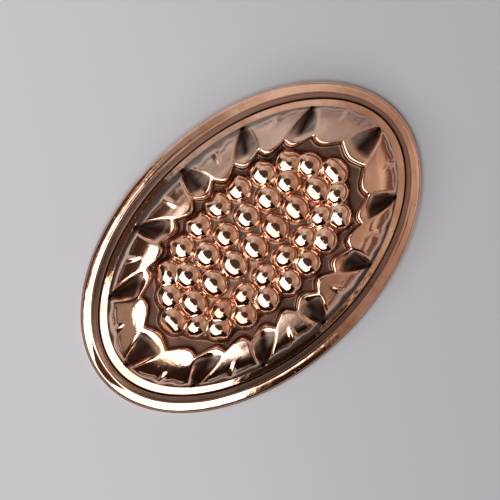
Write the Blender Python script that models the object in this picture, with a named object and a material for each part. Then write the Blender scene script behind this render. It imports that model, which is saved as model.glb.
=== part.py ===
"""Oval copper jelly mould, standing on its wired rim with the grape pattern on top.

Metres, +Z up, +X along the oval. The origin is on the table plane, under the middle of the oval.
"""
import math

import bmesh
import bpy
import numpy as np
from mathutils import Vector

# Oval outline, over the outside of the wired rim
LENGTH = 0.170
WIDTH = 0.110

# Stock and fits
SHEET = 0.0008
WIRE_DIAMETER = 0.0029
CLEARANCE = 0.0003
WIRE_BUTT_GAP = 0.001

# Base band: a leaning strip that flares out to a lip, whose edge is turned under around the wire
BAND_HEIGHT = 0.0135
BAND_TOP_INSET = 0.0074
FLARE_INSET = 0.0051
FLARE_HEIGHT = 0.0066
ROLL_START = math.radians(130)
ROLL_STEP = math.radians(40)
ROLL_POINTS = 7

# Crown: skirt lapped inside the band, sloping collar, lobed wall, crest and moat floor
LAP = 0.0045
COLLAR_INSET = 0.0114
COLLAR_HEIGHT = 0.0150
CREST_INSET_END = 0.0281
CREST_INSET_SIDE = 0.0229
CREST_HEIGHT = 0.032
CREST_DROP = 0.0014
MOAT_DEPTH = 0.0040
MOAT_WALL_LEAN = 0.0013

# Lobes of the wall: a steep riser, then a round face. Between each two lies a petal in a valley.
LOBES = 12
COLUMNS_PER_LOBE = 12
WALL_SHARES = (0.0, 0.15, 0.35, 0.55, 0.75, 0.9, 1.0)
RISER_HEIGHT = 0.0080
RISER_REACH = 0.0018
LOBE_FLATNESS = 0.45
LOBE_BELLY = 0.10
PETAL_DROP = 0.0014
PETAL_CURVE = 1.1
VALLEY_FOOT = 0.06
VALLEY_CREST = 0.31
VALLEY_SIDE = 0.14
SCALLOP = 0.0034

# Grape cluster, which stands clear of the crest's notches by the moat's width
GRAPE_ROWS = 5
GRAPES_IN_MIDDLE_ROW = 9
MOAT_AT_END = 0.0072
MOAT_AT_SIDE = 0.0060
ROW_BEND_INSET = 0.0059
GRAPE_RADIUS = 0.0053
GRAPE_CURVE = 0.0064
GRAPE_SPACING = 0.0002
GRAPE_TOP = 0.0060
CLUSTER_DOME = 0.0030
GRAPE_SIDES = 9
GRAPE_BANDS = 9

# Solder fillet in the corner under the crown's skirt
SOLDER_LEG = 0.0016

COLUMNS = LOBES * COLUMNS_PER_LOBE
ROLL_RADIUS = WIRE_DIAMETER / 2 + CLEARANCE + SHEET
ROLL_CENTRE_HEIGHT = ROLL_RADIUS * math.cos(ROLL_STEP / 2)
MOAT_HEIGHT = CREST_HEIGHT - MOAT_DEPTH
CREST_HALF_LENGTH = LENGTH / 2 - CREST_INSET_END
CREST_HALF_WIDTH = WIDTH / 2 - CREST_INSET_SIDE
GRAPE_PITCH = (CREST_HALF_LENGTH - MOAT_AT_END - GRAPE_RADIUS) / ((GRAPES_IN_MIDDLE_ROW - 1) / 2)
ROW_PITCH = (CREST_HALF_WIDTH - MOAT_AT_SIDE - GRAPE_RADIUS) / ((GRAPE_ROWS - 1) / 2)
ROW_BEND = CREST_HALF_LENGTH - ROW_BEND_INSET

for old in list(bpy.data.objects):
    bpy.data.objects.remove(old, do_unlink=True)


def metal(name, colour, roughness):
    """One bare metal finish."""
    material = bpy.data.materials.new(name)
    material.use_nodes = True
    shader = material.node_tree.nodes["Principled BSDF"]
    shader.inputs["Base Color"].default_value = (*colour, 1.0)
    shader.inputs["Metallic"].default_value = 1.0
    shader.inputs["Roughness"].default_value = roughness
    return material


def add_object(name, data, material):
    """Link a mesh or curve as one named piece."""
    piece = bpy.data.objects.new(name, data)
    bpy.context.collection.objects.link(piece)
    data.materials.append(material)
    return piece


def finished_mesh(name, bm, sharp_angle):
    """Turn a bmesh into a mesh, shaded smooth except across edges sharper than the angle."""
    mesh = bpy.data.meshes.new(name)
    bm.to_mesh(mesh)
    bm.free()
    mesh.shade_smooth()
    mesh.set_sharp_from_angle(angle=sharp_angle)
    return mesh


def oval_point(angle, inset):
    """Point of the outline moved squarely inwards by the inset."""
    half_length, half_width = LENGTH / 2, WIDTH / 2
    on_rim = Vector((half_length * math.cos(angle), half_width * math.sin(angle)))
    outward = Vector((half_width * math.cos(angle), half_length * math.sin(angle))).normalized()
    return on_rim - outward * inset


def crest_point(angle):
    """Point of the oval through the notches of the wall's scalloped crest."""
    return Vector((CREST_HALF_LENGTH * math.cos(angle), CREST_HALF_WIDTH * math.sin(angle)))


def equal_lobe_angles():
    """Oval angles that share the collar line out in equal lengths, first lobe foot at +X."""
    fine = np.linspace(0.0, 2 * math.pi, 7201)
    line = np.array([oval_point(angle, COLLAR_INSET) for angle in fine])
    steps = np.hypot(*np.diff(line, axis=0).T)
    travelled = np.concatenate(([0.0], np.cumsum(steps)))
    return np.interp(np.arange(COLUMNS) * travelled[-1] / COLUMNS, travelled, fine)


ANGLES = equal_lobe_angles()


def level_ring(inset, height):
    """Ring of points at one inset from the rim and one height."""
    return [Vector((*oval_point(angle, inset), height)) for angle in ANGLES]


def loft(bm, rings):
    """Skin a list of rings by extruding one ring of edges upwards, and return its end loops."""
    column = bm.verts.layers.int.new("column")
    start = bmesh.ops.create_circle(bm, segments=COLUMNS, radius=1.0)["verts"]
    for index, vert in enumerate(start):
        vert[column] = index
        vert.co = rings[0][index]
    first_loop = list(bm.edges)
    loop = first_loop
    for ring in rings[1:]:
        made = bmesh.ops.extrude_edge_only(bm, edges=loop)["geom"]
        for vert in (item for item in made if isinstance(item, bmesh.types.BMVert)):
            vert.co = ring[vert[column]]
        new_verts = {item for item in made if isinstance(item, bmesh.types.BMVert)}
        loop = [item for item in made if isinstance(item, bmesh.types.BMEdge)
                and item.verts[0] in new_verts and item.verts[1] in new_verts]
    return first_loop, loop


def closed_ring_mesh(name, profile, sharp_angle):
    """Solid ring whose section is a closed list of (inset, height) points."""
    bm = bmesh.new()
    first_loop, last_loop = loft(bm, [level_ring(*point) for point in profile])
    bmesh.ops.bridge_loops(bm, edges=first_loop + last_loop)
    bmesh.ops.recalc_face_normals(bm, faces=bm.faces)
    return finished_mesh(name, bm, sharp_angle)


def roll_points(radius):
    """Section of the turned edge, from the lip outwards, under the wire and up behind it."""
    turns = [ROLL_START + step * ROLL_STEP for step in range(ROLL_POINTS)]
    return [(ROLL_RADIUS + radius * math.cos(turn), ROLL_CENTRE_HEIGHT + radius * math.sin(turn))
            for turn in turns]


def band_inside_inset(height):
    """Inset of the band's inner face at a height above the flare."""
    share = (height - FLARE_HEIGHT) / (BAND_HEIGHT - FLARE_HEIGHT)
    return FLARE_INSET + SHEET + share * (BAND_TOP_INSET - FLARE_INSET)


def inner_flare_corner():
    """Where the band's inner face meets the underside of the flare."""
    lip_inset, lip_height = roll_points(ROLL_RADIUS)[0]
    under_inset, under_height = roll_points(ROLL_RADIUS - SHEET)[0]
    flare_slope = (FLARE_HEIGHT - lip_height) / (FLARE_INSET - lip_inset)
    band_lean = (BAND_TOP_INSET - FLARE_INSET) / (BAND_HEIGHT - FLARE_HEIGHT)
    level_inset = band_inside_inset(0.0)
    height = (under_height + flare_slope * (level_inset - under_inset)) / (1 - flare_slope * band_lean)
    return band_inside_inset(height), height


def base_band_mesh():
    """Strip section: down the outer face, out over the flare, around the roll and back inside."""
    outer_face = [(BAND_TOP_INSET, BAND_HEIGHT), (FLARE_INSET, FLARE_HEIGHT)] + roll_points(ROLL_RADIUS)
    inner_face = roll_points(ROLL_RADIUS - SHEET)[::-1]
    inner_face += [inner_flare_corner(), (BAND_TOP_INSET + SHEET, BAND_HEIGHT)]
    return closed_ring_mesh("base_band", outer_face + inner_face, math.radians(50))


def rim_wire_curve():
    """Stiffening wire, bent to the oval with its two ends almost butted."""
    curve = bpy.data.curves.new("rim_wire", "CURVE")
    curve.dimensions = "3D"
    curve.bevel_depth = WIRE_DIAMETER / 2
    curve.bevel_resolution = 1
    curve.use_fill_caps = True
    path = level_ring(ROLL_RADIUS, ROLL_CENTRE_HEIGHT)
    half_gap = (path[1] - path[0]).normalized() * WIRE_BUTT_GAP / 2
    mirrored_half_gap = (path[-1] - path[0]).normalized() * WIRE_BUTT_GAP / 2
    points = [path[0] + half_gap] + path[1:] + [path[0] + mirrored_half_gap]
    spline = curve.splines.new("POLY")
    spline.points.add(len(points) - 1)
    for spline_point, place in zip(spline.points, points):
        spline_point.co = (*place, 1.0)
    return curve


def smooth_step(value):
    """Smooth way from 0 to 1."""
    share = min(max(value, 0.0), 1.0)
    return share * share * (3 - 2 * share)


def scalloped_edge(phase):
    """How far the crest swells inwards past its notches: once over each lobe and each petal."""
    return SCALLOP * abs(math.cos(2 * math.pi * phase))


def out_of_valley(phase, share):
    """How far a column stands on its lobe, from 0 on the valley's floor to 1 on the lobe."""
    edge = VALLEY_FOOT + (VALLEY_CREST - VALLEY_FOOT) * share
    side = min(VALLEY_SIDE, edge)
    return smooth_step((min(phase, 1 - phase) - edge + side) / side)


def wall_height(phase, share, past_riser):
    """Height above the collar, at a share of the whole way and of the way past the riser."""
    rise = CREST_HEIGHT - COLLAR_HEIGHT
    face = LOBE_FLATNESS * past_riser + (1 - LOBE_FLATNESS) * (1 - (1 - past_riser) ** 2)
    lobe = RISER_HEIGHT + (rise - RISER_HEIGHT) * face
    petal = (rise - PETAL_DROP) * (1 - (1 - share) ** PETAL_CURVE)
    belly = 1 - LOBE_BELLY * (2 * phase - 1) ** 2 * (1 - share)
    return petal + out_of_valley(phase, share) * belly * (lobe - petal)


def wall_ring(past_riser):
    """Ring of the lobed wall at a share of the way from the riser's top to the crest."""
    ring = []
    for index, angle in enumerate(ANGLES):
        foot = oval_point(angle, COLLAR_INSET)
        way = crest_point(angle) - foot
        phase = (index % COLUMNS_PER_LOBE) / COLUMNS_PER_LOBE
        reach = way.length + scalloped_edge(phase)
        travel = RISER_REACH + past_riser * (reach - RISER_REACH)
        height = COLLAR_HEIGHT + wall_height(phase, travel / reach, past_riser)
        ring.append(Vector((*(foot + way.normalized() * travel), height)))
    return ring


def past_crest_ring(travel, drop):
    """Ring on the moat's side of the crest, so far inwards and so far below it."""
    ring = []
    for angle, crest in zip(ANGLES, wall_ring(1.0)):
        inwards = (crest_point(angle) - oval_point(angle, COLLAR_INSET)).normalized()
        ring.append(Vector((*(crest.xy + inwards * travel), crest.z - drop)))
    return ring


def crown_shell_mesh():
    """Outer face of the crown's sheet, from the skirt's lower edge to the flat floor of the moat."""
    skirt_bottom = BAND_HEIGHT - LAP
    rings = [level_ring(band_inside_inset(height) + CLEARANCE, height)
             for height in (skirt_bottom, BAND_HEIGHT)]
    rings.append(level_ring(COLLAR_INSET, COLLAR_HEIGHT))
    rings += [wall_ring(past_riser) for past_riser in WALL_SHARES]
    rings.append(past_crest_ring(MOAT_WALL_LEAN / 2, CREST_DROP))
    rings.append([Vector((*point.xy, MOAT_HEIGHT)) for point in past_crest_ring(MOAT_WALL_LEAN, 0.0)])
    bm = bmesh.new()
    last_loop = loft(bm, rings)[1]
    floor = bmesh.ops.contextual_create(bm, geom=last_loop)["faces"][0]
    bmesh.ops.recalc_face_normals(bm, faces=bm.faces)
    if floor.normal.z < 0:
        bmesh.ops.reverse_faces(bm, faces=bm.faces)
    return finished_mesh("mould_crown", bm, math.radians(60))


def grape_places():
    """Centres of the grapes in plan: straight middle row, the others bent towards it at the ends."""
    middle = (GRAPE_ROWS - 1) // 2
    places = []
    for row in range(-middle, middle + 1):
        count = GRAPES_IN_MIDDLE_ROW - abs(row)
        for number in range(count):
            x = (number - (count - 1) / 2) * GRAPE_PITCH
            bend = math.sqrt(max(0.0, 1 - (x / ROW_BEND) ** 2))
            places.append(Vector((x, row * ROW_PITCH * bend)))
    return places


def grape_radius(place, places):
    """Full size where there is room, smaller where the rows crowd together."""
    nearest = min((place - other).length for other in places if other is not place)
    return min(GRAPE_RADIUS, (nearest - GRAPE_SPACING) / 2)


def grape_top_height(place):
    """Height of a grape's top: the cluster swells towards its middle."""
    half_width = (GRAPE_ROWS - 1) / 2 * ROW_PITCH + GRAPE_RADIUS
    away = (place.x / ROW_BEND) ** 2 + (place.y / half_width) ** 2
    return MOAT_HEIGHT + GRAPE_TOP + CLUSTER_DOME * max(0.0, 1 - away)


def grapes_mesh(name, wall, foot_height):
    """All grapes as studs with a round cap, their walls thinned by the given amount."""
    places = grape_places()
    bm = bmesh.new()
    for place in places:
        radius = grape_radius(place, places)
        curve = GRAPE_CURVE * radius / GRAPE_RADIUS
        centre = Vector((*place, grape_top_height(place) - curve))
        edge_height = math.sqrt((curve - wall) ** 2 - (radius - wall) ** 2)
        stud = bmesh.new()
        bmesh.ops.create_uvsphere(stud, u_segments=GRAPE_SIDES, v_segments=GRAPE_BANDS,
                                  radius=curve - wall)
        cut = bmesh.ops.bisect_plane(stud, geom=stud.verts[:] + stud.edges[:] + stud.faces[:],
                                     dist=GRAPE_SPACING / 100, plane_co=(0, 0, edge_height),
                                     plane_no=(0, 0, 1), clear_inner=True)["geom_cut"]
        cap_edge = [item for item in cut if isinstance(item, bmesh.types.BMEdge)]
        made = bmesh.ops.extrude_edge_only(stud, edges=cap_edge)["geom"]
        foot = [item for item in made if isinstance(item, bmesh.types.BMVert)]
        bmesh.ops.translate(stud, verts=foot, vec=(0, 0, foot_height - centre.z - edge_height))
        bmesh.ops.holes_fill(stud, edges=stud.edges[:], sides=0)
        bmesh.ops.recalc_face_normals(stud, faces=stud.faces[:])
        bmesh.ops.translate(stud, verts=stud.verts[:], vec=centre)
        stud_mesh = bpy.data.meshes.new("stud")
        stud.to_mesh(stud_mesh)
        stud.free()
        bm.from_mesh(stud_mesh)
        bpy.data.meshes.remove(stud_mesh)
    return finished_mesh(name, bm, math.radians(60))


def guide(name, mesh, material):
    """Shape that only serves a Boolean and isn't a piece of the mould."""
    shape = add_object(name, mesh, material)
    shape.hide_render = True
    shape.display_type = "WIRE"
    return shape


def add_boolean(piece, operation, shape):
    """Join or cut a shape with the exact solver."""
    modifier = piece.modifiers.new(operation.lower(), "BOOLEAN")
    modifier.operation = operation
    modifier.solver = "EXACT"
    modifier.object = shape


def build_crown(material):
    """Stamped crown: the sheet gets its thickness, then the grapes are raised and hollowed."""
    crown = add_object("mould_crown", crown_shell_mesh(), material)
    thickness = crown.modifiers.new("sheet", "SOLIDIFY")
    thickness.thickness = SHEET
    thickness.offset = -1.0
    raised = grapes_mesh("grapes_raised", 0.0, MOAT_HEIGHT - SHEET / 2)
    hollows = grapes_mesh("grape_hollows", SHEET, MOAT_HEIGHT - 2 * SHEET)
    add_boolean(crown, "UNION", guide("grapes_raised", raised, material))
    add_boolean(crown, "DIFFERENCE", guide("grape_hollows", hollows, material))
    return crown


def solder_mesh():
    """Soft solder run into the corner between the skirt's lower edge and the band."""
    top = BAND_HEIGHT - LAP - CLEARANCE
    bottom = top - SOLDER_LEG
    against_band = band_inside_inset(top) + CLEARANCE
    profile = [(against_band, top),
               (against_band + SOLDER_LEG, top),
               (band_inside_inset(bottom) + CLEARANCE, bottom)]
    return closed_ring_mesh("lap_solder", profile, math.radians(30))


polished_copper = metal("polished_copper", (0.86, 0.43, 0.29), 0.12)
rolled_copper = metal("rolled_copper", (0.82, 0.42, 0.29), 0.18)
iron_wire = metal("iron_wire", (0.30, 0.29, 0.28), 0.5)
soft_solder = metal("soft_solder", (0.62, 0.62, 0.60), 0.4)

build_crown(polished_copper)
add_object("base_band", base_band_mesh(), rolled_copper)
add_object("rim_wire", rim_wire_curve(), iron_wire)
add_object("lap_solder", solder_mesh(), soft_solder)
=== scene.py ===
import math

import bmesh
import bpy
import numpy as np
from mathutils import Matrix, Vector, noise


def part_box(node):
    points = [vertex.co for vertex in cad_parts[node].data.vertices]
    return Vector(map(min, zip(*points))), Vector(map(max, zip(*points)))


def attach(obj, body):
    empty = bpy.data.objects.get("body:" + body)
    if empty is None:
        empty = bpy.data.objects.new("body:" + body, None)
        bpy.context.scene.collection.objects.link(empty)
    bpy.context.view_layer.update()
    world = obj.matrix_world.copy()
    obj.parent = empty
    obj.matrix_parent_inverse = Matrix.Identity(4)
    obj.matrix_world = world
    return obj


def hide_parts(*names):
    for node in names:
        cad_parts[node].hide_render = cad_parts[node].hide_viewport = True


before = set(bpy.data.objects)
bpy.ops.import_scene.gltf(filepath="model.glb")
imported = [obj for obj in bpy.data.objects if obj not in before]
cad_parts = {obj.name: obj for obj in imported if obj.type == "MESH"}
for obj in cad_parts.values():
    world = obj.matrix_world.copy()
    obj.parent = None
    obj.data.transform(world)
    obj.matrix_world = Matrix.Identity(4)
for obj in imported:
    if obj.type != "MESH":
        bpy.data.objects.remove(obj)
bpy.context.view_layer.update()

# Stiffening wire
# Drawn iron wire, bent to the oval and laid in the base band's edge, which is turned under around
# it. Its two ends nearly butt. A dark line of it shows from inside, above the end of the turned edge.
SHEET = 0.0008
WIRE_RADIUS = 0.00145
WIRE_CLEARANCE = 0.0003
BUTT_GAP = 0.001
WIRE_POINTS = 360
RUST_SPOT = 0.003
ROLL_RADIUS = WIRE_RADIUS + WIRE_CLEARANCE + SHEET
# The CAD draws the turned edge in facets of this step, which reach a little less far than a round.
ROLL_STEP = math.radians(40)
ROLL_CENTRE_HEIGHT = ROLL_RADIUS * math.cos(ROLL_STEP / 2)
ROLL_REACH = ROLL_RADIUS * math.cos(ROLL_STEP / 4)
HALF_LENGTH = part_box("base_band")[1].x + ROLL_RADIUS - ROLL_REACH
HALF_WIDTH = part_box("base_band")[1].y + ROLL_RADIUS - ROLL_REACH
COLLAR_INSET = 0.0114
OVAL_STEPS = 7200


def oval_line(angles, inset):
    """Points of the mould's outline moved squarely inwards, as an array of x and y."""
    on_rim = np.stack([HALF_LENGTH * np.cos(angles), HALF_WIDTH * np.sin(angles)], axis=-1)
    outward = np.stack([HALF_WIDTH * np.cos(angles), HALF_LENGTH * np.sin(angles)], axis=-1)
    outward /= np.linalg.norm(outward, axis=-1, keepdims=True)
    return on_rim - outward * np.asarray(inset)[..., None]


def equal_angles(count):
    """Oval angles that share the collar line out in equal lengths, the first at +X."""
    fine = np.linspace(0.0, 2 * math.pi, OVAL_STEPS + 1)
    steps = np.linalg.norm(np.diff(oval_line(fine, COLLAR_INSET), axis=0), axis=1)
    travelled = np.concatenate(([0.0], np.cumsum(steps)))
    return np.interp(np.arange(count) * travelled[-1] / count, travelled, fine)


def srgb(code):
    """Linear colour of an sRGB hex code."""
    parts = [int(code[place:place + 2], 16) / 255 for place in (0, 2, 4)]
    return (*[part / 12.92 if part <= 0.04045 else ((part + 0.055) / 1.055) ** 2.4
              for part in parts], 1.0)


def add_node(tree, kind, inputs=None, **settings):
    """Add a node with its settings; an input is a value or another node's output."""
    new = tree.nodes.new(kind)
    for name, value in settings.items():
        setattr(new, name, value)
    for name, value in (inputs or {}).items():
        if isinstance(value, bpy.types.NodeSocket):
            tree.links.new(value, new.inputs[name])
        else:
            new.inputs[name].default_value = value
    return new


def new_material(name):
    """Node material with an empty tree, and that tree."""
    material = bpy.data.materials.new(name)
    material.use_nodes = True
    material.node_tree.nodes.clear()
    return material, material.node_tree


def add_piece(name, data, materials, node):
    """Link a finished piece that stands for a CAD node and rides with the mould."""
    piece = bpy.data.objects.new(name, data)
    bpy.context.scene.collection.objects.link(piece)
    for material in materials:
        data.materials.append(material)
    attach(piece, "root")
    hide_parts(node)
    return piece


def iron_wire_material():
    """Drawn iron: dull grey metal with brown rust bloom in spots of a few millimetres."""
    material, tree = new_material("drawn_iron")
    place = add_node(tree, "ShaderNodeTexCoord").outputs["Object"]
    bloom = add_node(tree, "ShaderNodeTexNoise", {"Vector": place, "Scale": 1 / RUST_SPOT, "Detail": 5.0})
    rusty = add_node(tree, "ShaderNodeMapRange", {"Value": bloom.outputs["Fac"], "From Min": 0.48,
                                                  "From Max": 0.62})
    colour = add_node(tree, "ShaderNodeMix", {0: rusty.outputs["Result"], 6: srgb("77736E"),
                                              7: srgb("4A2D20")}, data_type="RGBA")
    rough = add_node(tree, "ShaderNodeMapRange", {"Value": rusty.outputs["Result"], "To Min": 0.42,
                                                  "To Max": 0.8})
    surface = add_node(tree, "ShaderNodeBsdfPrincipled", {
        "Base Color": colour.outputs[2], "Metallic": 1.0, "Roughness": rough.outputs["Result"]})
    add_node(tree, "ShaderNodeOutputMaterial", {"Surface": surface.outputs[0]})
    return material


def wire_curve():
    """The wire's centre line, a point every millimetre or so."""
    curve = bpy.data.curves.new("stiffening_wire", "CURVE")
    curve.dimensions = "3D"
    curve.bevel_depth = WIRE_RADIUS
    curve.bevel_resolution = 3
    curve.use_fill_caps = True
    line = oval_line(equal_angles(WIRE_POINTS), ROLL_RADIUS)
    towards_next = (line[1] - line[0]) / np.linalg.norm(line[1] - line[0])
    towards_last = (line[-1] - line[0]) / np.linalg.norm(line[-1] - line[0])
    line = np.concatenate(([line[0] + towards_next * BUTT_GAP / 2], line[1:],
                           [line[0] + towards_last * BUTT_GAP / 2]))
    spline = curve.splines.new("POLY")
    spline.points.add(len(line) - 1)
    for spline_point, (x, y) in zip(spline.points, line):
        spline_point.co = (x, y, ROLL_CENTRE_HEIGHT, 1.0)
    return curve


add_piece("stiffening_wire", wire_curve(), [iron_wire_material()], "rim_wire")


# Base band
# A strip of sheet copper closed to an oval and leaning a little inwards. Below, it flares out to a
# lip, and the lip's edge is turned under around the wire, so that the mould stands on a round edge.
# A place in the strip's section is an inset from the rim and a height.
BAND_HEIGHT = 0.0135
BAND_TOP_INSET = 0.0074
FLARE_INSET = 0.0051
LIP_ROOT_HEIGHT = 0.0057
LIP_HOLLOW = 0.0009
LIP_BULGE = 0.00010
LIP_EDGE = (0.0018, 0.00461)
LIP_CORNER = (0.0006, 0.0042)
ROLL_TANGENT = math.radians(174)
ROLL_END = math.radians(372)
# The turned edge is round here, and stands on the plane that the CAD's facets stand on.
ROLL_OUTER = ROLL_CENTRE_HEIGHT
EDGE_ROUNDING = 0.00015
CUT_EDGE_SWELL = 0.4
FACE_POINTS = 6
STRAIGHT_POINTS = 4
HOLLOW_POINTS = 4
LIP_POINTS = 12
CORNER_POINTS = 6
ROLL_POINTS = 26


def rounded_corner(start, corner, end, count):
    """Points of a round turn from one point to another, its two ends left out."""
    turns = np.linspace(0, 1, count + 2)[1:-1, None]
    return (1 - turns) ** 2 * start + 2 * turns * (1 - turns) * np.array(corner) + turns ** 2 * end


def band_outer_line(roll_end, root_height):
    """Outer face of the strip in section, from its top down the lip and around the wire."""
    top = np.array([BAND_TOP_INSET, BAND_HEIGHT - EDGE_ROUNDING])
    foot = np.array([FLARE_INSET, root_height])
    face_end = 1 - LIP_HOLLOW / (BAND_HEIGHT - root_height)
    face = top + np.linspace(0, face_end, FACE_POINTS)[:, None] * (foot - top)
    lip_way = np.array(LIP_EDGE) - foot
    lip_start = foot + lip_way * LIP_HOLLOW / np.linalg.norm(lip_way)
    shares = np.linspace(0, 1, LIP_POINTS)[:, None]
    lip = lip_start + shares * (np.array(LIP_EDGE) - lip_start)
    lip[:, 1] += LIP_BULGE * np.sin(math.pi * shares[:, 0])
    turns = np.linspace(ROLL_TANGENT, roll_end, ROLL_POINTS)
    roll = np.stack([ROLL_RADIUS + ROLL_OUTER * np.cos(turns),
                     ROLL_CENTRE_HEIGHT + ROLL_OUTER * np.sin(turns)], axis=-1)
    hollow = rounded_corner(face[-1], foot, lip_start, HOLLOW_POINTS)
    corner = rounded_corner(lip[-1], LIP_CORNER, roll[0], CORNER_POINTS)
    return np.concatenate((face, hollow, lip, corner, roll))


def moved_square(line, distance):
    """The line moved squarely to its left by the distance."""
    ahead = np.gradient(line, axis=0)
    ahead /= np.linalg.norm(ahead, axis=1, keepdims=True)
    return line + np.stack([-ahead[:, 1], ahead[:, 0]], axis=-1) * distance


def band_section(roll_end, root_height):
    """Closed section of the strip: outer face, rounded cut edge, inner face, rounded top edge."""
    outer = band_outer_line(roll_end, root_height)
    inner = moved_square(outer, SHEET)
    inner[:STRAIGHT_POINTS, 0] = outer[:STRAIGHT_POINTS, 0] + SHEET
    cut_edge = (outer[-1] + inner[-1]) / 2 + (outer[-1] - outer[-2]) * CUT_EDGE_SWELL
    top_edge = np.array([(BAND_TOP_INSET + SHEET - EDGE_ROUNDING, BAND_HEIGHT),
                         (BAND_TOP_INSET + EDGE_ROUNDING, BAND_HEIGHT)])
    return np.concatenate((outer, [cut_edge], inner[::-1], top_edge))


def slow_waver(angles, strength, seed):
    """Slow, closed waver along the oval, from a few sine waves."""
    waves = [(2, 0.5), (3, 0.3), (5, 0.35), (8, 0.2), (13, 0.12), (21, 0.08)]
    return strength * sum(share * np.sin(count * angles + seed * (count + 1.7))
                          for count, share in waves)


def loft(bm, rings):
    """Skin rings of points by extruding one ring of edges, and return the first and last loops."""
    column = bm.verts.layers.int.new("column")
    start = bmesh.ops.create_circle(bm, segments=len(rings[0]), radius=1.0)["verts"]
    for index, vert in enumerate(start):
        vert[column] = index
        vert.co = rings[0][index]
    first_loop = list(bm.edges)
    loop = first_loop
    for ring in rings[1:]:
        made = bmesh.ops.extrude_edge_only(bm, edges=loop)["geom"]
        new_verts = {item for item in made if isinstance(item, bmesh.types.BMVert)}
        for vert in new_verts:
            vert.co = ring[vert[column]]
        loop = [item for item in made if isinstance(item, bmesh.types.BMEdge)
                and item.verts[0] in new_verts and item.verts[1] in new_verts]
    return first_loop, loop


def finished_mesh(name, bm, sharp_angle):
    """Turn a bmesh into a mesh, smooth except across edges sharper than the angle."""
    mesh = bpy.data.meshes.new(name)
    bm.to_mesh(mesh)
    bm.free()
    mesh.shade_smooth()
    mesh.set_sharp_from_angle(angle=sharp_angle)
    return mesh


BAND_COLUMNS = 480
RIM_WAVER = 0.00012
LIP_ROOT_WAVER = 1.5 * RIM_WAVER
CURL_WAVER = math.radians(5)
# At the -X end the lip lies flatter, because the corner above it is lower there.
FLAT_LIP_DROP = 0.0014
FLAT_LIP_AT = math.radians(175.5)
FLAT_LIP_SPREAD = math.radians(15)


def band_mesh():
    """The strip lofted around the oval, its lip and its turned edge a little uneven."""
    angles = equal_angles(BAND_COLUMNS)
    curl_ends = ROLL_END + slow_waver(angles, CURL_WAVER, 4.0)
    flat_lip = np.exp(-((angles - FLAT_LIP_AT) / FLAT_LIP_SPREAD) ** 2)
    root_heights = LIP_ROOT_HEIGHT - FLAT_LIP_DROP * flat_lip + slow_waver(angles, LIP_ROOT_WAVER, 7.0)
    sections = np.array([band_section(*pair) for pair in zip(curl_ends, root_heights)])
    leaning = slow_waver(angles, RIM_WAVER, 1.0)[:, None]
    above_roll = np.clip(sections[:, :, 1] / BAND_HEIGHT, 0, 1)
    insets = sections[:, :, 0] + leaning * above_roll + RIM_WAVER * above_roll
    rings = []
    for index in range(sections.shape[1]):
        plan = oval_line(angles, insets[:, index])
        rings.append(np.column_stack((plan, sections[:, index, 1])))
    bm = bmesh.new()
    first_loop, last_loop = loft(bm, rings)
    bmesh.ops.bridge_loops(bm, edges=first_loop + last_loop)
    bmesh.ops.recalc_face_normals(bm, faces=bm.faces)
    return finished_mesh("rolled_band", bm, math.radians(50))


TARNISH_CLOUD = 0.014
PIT_SPACING = 0.0016
PIT_PATCH = 0.006
HAMMER_RIPPLE = 0.0045
CLOTH_STROKES = (0.012, 0.0016, 0.004)
# Real polishing marks are finer than this and wouldn't show, so they are drawn coarser.
POLISHING_MARK = 0.0007


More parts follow.
